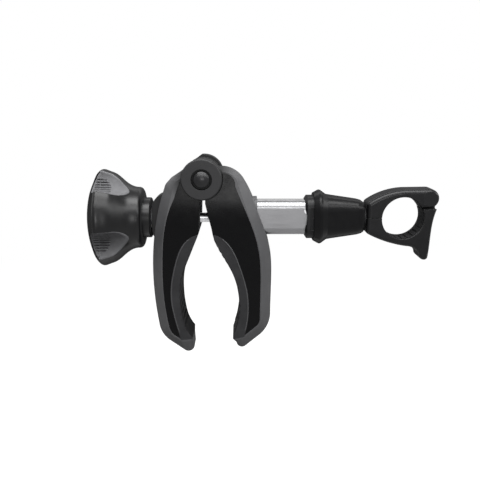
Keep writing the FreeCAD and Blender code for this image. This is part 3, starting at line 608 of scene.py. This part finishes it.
def smooth_line(points, count):
    # Smooth curve through points in millimetres, with as many samples in each stretch
    spots = [Vector((x / 1000, z / 1000)) for x, z in points]
    spots = [2 * spots[0] - spots[1]] + spots + [2 * spots[-1] - spots[-2]]
    line = []
    for a, b, c, d in zip(spots, spots[1:], spots[2:], spots[3:]):
        for step in range(count):
            t = step / count
            line.append(0.5 * (2 * b + (c - a) * t + (2 * a - 5 * b + 4 * c - d) * t * t
                               + (3 * b - a - 3 * c + d) * t * t * t))
    return line + [spots[-2]]


def surface_tree(node_name):
    mesh = nodes[node_name].data
    return BVHTree.FromPolygons([v.co for v in mesh.vertices], [p.vertices for p in mesh.polygons])


def side_face(tree, x, z, side):
    # Spot and normal on a pad's front (-1) or back (1) face, both None off its edge
    start = Vector((x, side * probe_start, z))
    return tree.ray_cast(start, Vector((0, -side, 0)), probe_length)[:2]


def lip_ring(builder, point, into, edge, far):
    # Outline across a lip, from the pad's side face inwards, rounded towards the gripped tube
    near_x, near_z = point - into * lip_proud
    deep_x, deep_z = point + into * lip_depth
    far_corner = 1 - lip_corner
    ring = []
    for u, v in ((0, lip_corner), (lip_corner, 0), (far_corner, 0), (1, lip_corner), (1, 1), (0, 1)):
        x = near_x + (deep_x - near_x) * v
        y = edge + (far - edge) * u
        z = near_z + (deep_z - near_z) * v
        ring.append(builder.verts.new((hinge_x + x, y, z)))
    return ring


def make_lips(pad_name, grip_line, gap_side):
    def maker(builder):
        tree = surface_tree(pad_name)
        low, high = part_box(pad_name)
        lowest = low.z + lip_above_low_end
        highest = high.z - lip_below_high_end
        line = [p for p in smooth_line(grip_line, grip_line_steps) if lowest < p.y < highest]
        for side in (-1, 1):
            rings = []
            for i, point in enumerate(line):
                ahead = heading(line, i)
                into = Vector((-ahead.y, ahead.x))
                if into.x * gap_side > 0:
                    into = -into
                inner = point + into * probe_depth
                spot, _ = side_face(tree, hinge_x + inner.x, inner.y, side)
                if spot is not None:
                    edge = spot.y - side * lip_inset
                    rings.append(lip_ring(builder, point, into, edge, edge - side * lip_width))
            sweep(builder, rings)
    return maker


def border_line(tree, low, high, gap_side, side):
    # Outer border of a pad's side face, found level by level
    path = []
    normals = []
    for i in range(border_levels + 1):
        z = high.z - border_from_top - (high.z - low.z - border_trim) * i / border_levels
        hits = []
        for j in range(border_samples):
            x = low.x + (high.x - low.x) * j / (border_samples - 1)
            spot, normal = side_face(tree, x, z, side)
            if spot is not None and abs(normal.y) > side_facing:
                hits.append((x, spot, normal))
        if hits:
            _, spot, normal = min(hits, key=lambda hit: hit[0] * gap_side)
            path.append(spot + Vector((gap_side * bead_inset, 0, 0)))
            normals.append(normal)
    return path, normals


def make_beads(pad_name, gap_side):
    def maker(builder):
        tree = surface_tree(pad_name)
        low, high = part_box(pad_name)
        for side in (-1, 1):
            path, normals = border_line(tree, low, high, gap_side, side)
            inner = [(a + b + b + c) / 4 for a, b, c in zip(path, path[1:], path[2:])]
            smooth = [path[0]] + inner + [path[-1]]
            add_ridge(builder, smooth, normals, bead_half_width, bead_height, bead_height)
    return maker


piece("left_pad_lips", make_lips("left_pad", left_grip_line, 1), "moving_jaw", "pad")
piece("right_pad_lips", make_lips("right_pad", right_grip_line, -1), "arm", "pad")
piece("left_pad_beads", make_beads("left_pad", 1), "moving_jaw", "jaw_frame")
piece("right_pad_beads", make_beads("right_pad", -1), "arm", "jaw_frame")

# Thread on the clamping rod, under the knob. Its outline is a wave of straight flanks, cut
# off at both ends for flat crests and roots.
thread_pitch = 0.00125
thread_depth = 0.00068
thread_length = 0.052
thread_segments = 20
rings_per_turn = 6
flank_slope = 1.25
flank_offset = 0.125
thread_runout = 0.0012
rod_chamfer = 0.0008
rod_r = (rod_high.z - rod_low.z) / 2
shank_r = rod_r * 0.995
near_tip_r = rod_r * 0.8
far_tip_r = rod_r * 0.82
thread_end = rod_low.x + thread_length


def thread_radius(x, angle):
    phase = ((x - rod_low.x) / thread_pitch - angle / (2 * math.pi)) % 1.0
    crest = 1.0 - min(1.0, max(0.0, abs(2 * phase - 1) * flank_slope - flank_offset))
    return rod_r - thread_depth * (1.0 - crest)


def rod_ring(builder, x, radius=None):
    # Ring of points about the rod, on the thread where no radius is given
    ring = []
    for step in range(thread_segments):
        angle = 2 * math.pi * step / thread_segments
        r = radius or thread_radius(x, angle)
        ring.append(builder.verts.new((x, -r * math.sin(angle), rod_z + r * math.cos(angle))))
    return ring


def make_threaded_rod(builder):
    # Stacked rings whose radius follows the thread's helix, then a plain shank
    rings = [rod_ring(builder, rod_low.x, near_tip_r)]
    steps = int((thread_end - rod_low.x) / thread_pitch * rings_per_turn)
    for i in range(1, steps):
        rings.append(rod_ring(builder, rod_low.x + (thread_end - rod_low.x) * i / steps))
    rings.append(rod_ring(builder, thread_end, rod_r - thread_depth * 0.5))
    rings.append(rod_ring(builder, thread_end + thread_runout, shank_r))
    rings.append(rod_ring(builder, rod_high.x - rod_chamfer, shank_r))
    rings.append(rod_ring(builder, rod_high.x, far_tip_r))
    sweep(builder, rings)


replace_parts(piece("threaded_rod", make_threaded_rod, "rod", "steel_pin"), "clamping_rod")


def make_coil(builder):
    builder.from_mesh(nodes["sleeve_spring"].data)


sleeve_coil = piece("sleeve_coil", make_coil, "arm", "spring")
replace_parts(sleeve_coil, "sleeve_spring")
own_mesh(sleeve_coil)


def seen_directly(tree):
    # One for what the camera sees, by itself or in a reflection, nought for bounced light
    path = tree.nodes.new("ShaderNodeLightPath")
    seen = arithmetic(tree, "MAXIMUM", path.outputs["Is Camera Ray"], path.outputs["Is Glossy Ray"])
    return arithmetic(tree, "MAXIMUM", seen, path.outputs["Is Transmission Ray"])


def mixed(tree, factor, first, second):
    mix = tree.nodes.new("ShaderNodeMixShader")
    for socket, value in zip(mix.inputs, (factor, first, second)):
        tree.links.new(value, socket)
    return mix.outputs[0]


def white_light(tree, kind, strength):
    # White emission of a surface or of the world's background
    node = tree.nodes.new(kind)
    node.inputs["Color"].default_value = (1, 1, 1, 1)
    node.inputs["Strength"].default_value = strength
    return node.outputs[0]


def make_floor_white():
    # White to the eye and in reflections, grey for bounced light, with the shadow kept near the object
    made = bpy.data.materials.new("floor_white")
    made.use_nodes = True
    tree = made.node_tree
    tree.nodes.clear()
    seen = seen_directly(tree)
    diffuse = tree.nodes.new("ShaderNodeBsdfDiffuse")
    shade = blend_colours(tree, seen, (floor_bounce,) * 3, (floor_seen,) * 3)
    tree.links.new(shade, diffuse.inputs["Color"])
    place = tree.nodes.new("ShaderNodeTexCoord")
    away = tree.nodes.new("ShaderNodeVectorMath")
    away.operation = "LENGTH"
    tree.links.new(place.outputs["Object"], away.inputs[0])
    glowing = spread(tree, away.outputs["Value"], near_glow, 1.0, glow_grows_from, glow_full_at)
    glow = white_light(tree, "ShaderNodeEmission", 1.0)
    surface = mixed(tree, arithmetic(tree, "MULTIPLY", seen, glowing), diffuse.outputs[0], glow)
    out = tree.nodes.new("ShaderNodeOutputMaterial")
    tree.links.new(surface, out.inputs["Surface"])
    return made


def make_floor():
    corners = [(-1, -1), (1, -1), (1, 1), (-1, 1)]
    mesh = bpy.data.meshes.new("floor")
    mesh.from_pydata([(x * floor_reach, y * floor_reach, floor_z) for x, y in corners], [], [(0, 1, 2, 3)])
    made = bpy.data.objects.new("floor", mesh)
    scene.collection.objects.link(made)
    mesh.materials.append(make_floor_white())


def make_world():
    # White where it is seen, dim as a light
    world = bpy.data.worlds.new("studio")
    scene.world = world
    world.use_nodes = True
    tree = world.node_tree
    tree.nodes.clear()
    dim = white_light(tree, "ShaderNodeBackground", world_diffuse)
    white = white_light(tree, "ShaderNodeBackground", 1.0)
    out = tree.nodes.new("ShaderNodeOutputWorld")
    tree.links.new(mixed(tree, seen_directly(tree), dim, white), out.inputs["Surface"])


def make_lamp(name, place, target, size, power):
    data = bpy.data.lights.new(name, "AREA")
    data.shape = "RECTANGLE"
    data.size, data.size_y = size
    data.energy = power
    lamp = bpy.data.objects.new(name, data)
    scene.collection.objects.link(lamp)
    lamp.location = place
    lamp.rotation_euler = (Vector(target) - Vector(place)).to_track_quat("-Z", "Y").to_euler()


def make_camera():
    data = bpy.data.cameras.new("camera")
    data.lens = camera_lens
    data.sensor_width = camera_sensor
    made = bpy.data.objects.new("camera", data)
    scene.collection.objects.link(made)
    made.location = camera_place
    made.rotation_euler = (math.radians(90 - camera_down), 0, 0)
    scene.camera = made


make_camera()
make_world()
make_floor()
for lamp_name, values in lamps.items():
    make_lamp(lamp_name, *values)
scene.view_settings.view_transform = "Standard"
